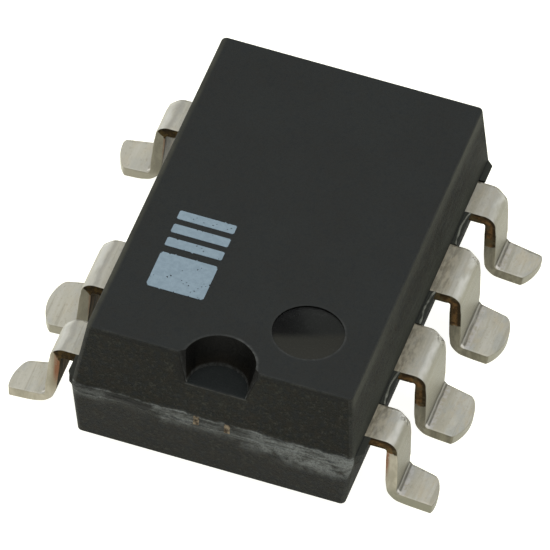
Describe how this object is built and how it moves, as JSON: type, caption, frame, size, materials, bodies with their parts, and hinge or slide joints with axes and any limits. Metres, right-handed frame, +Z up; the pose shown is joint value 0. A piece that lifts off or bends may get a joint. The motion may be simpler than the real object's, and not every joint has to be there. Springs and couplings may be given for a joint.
{
  "type": "surface mount integrated circuit",
  "caption": "Black moulded chip package with tin-plated gull-wing leads on two sides, one lead position left empty, with an end notch and a corner dimple.",
  "frame": {"origin": "centre of the part on the solder plane, under the middle of the leads' footprint", "axes": "+Z up out of the board, +Y towards the notched end, lead 1 at -X +Y"},
  "size_m": [0.0098, 0.0098, 0.0035],
  "materials": {
    "moulding_compound": "matte black epoxy moulding compound, fine eroded texture",
    "tinned_copper": "matte tin plating over copper, bare brown copper on the cut edges",
    "silver_epoxy": "cured silver-filled epoxy",
    "silicon": "polished silicon",
    "bond_wire": "bright gold wire"
  },
  "bodies": {
    "root": {"body": "moulding_compound", "source_frame": "tinned_copper", "lead_1": "tinned_copper", "lead_4": "tinned_copper", "lead_5": "tinned_copper", "die_attach": "silver_epoxy", "silicon_die": "silicon", "wire_control_1": "bond_wire", "wire_control_4": "bond_wire", "wire_drain_a": "bond_wire", "wire_drain_b": "bond_wire", "wire_drain_c": "bond_wire", "wire_source_a": "bond_wire", "wire_source_b": "bond_wire", "wire_source_c": "bond_wire"}
  },
  "joints": []
}
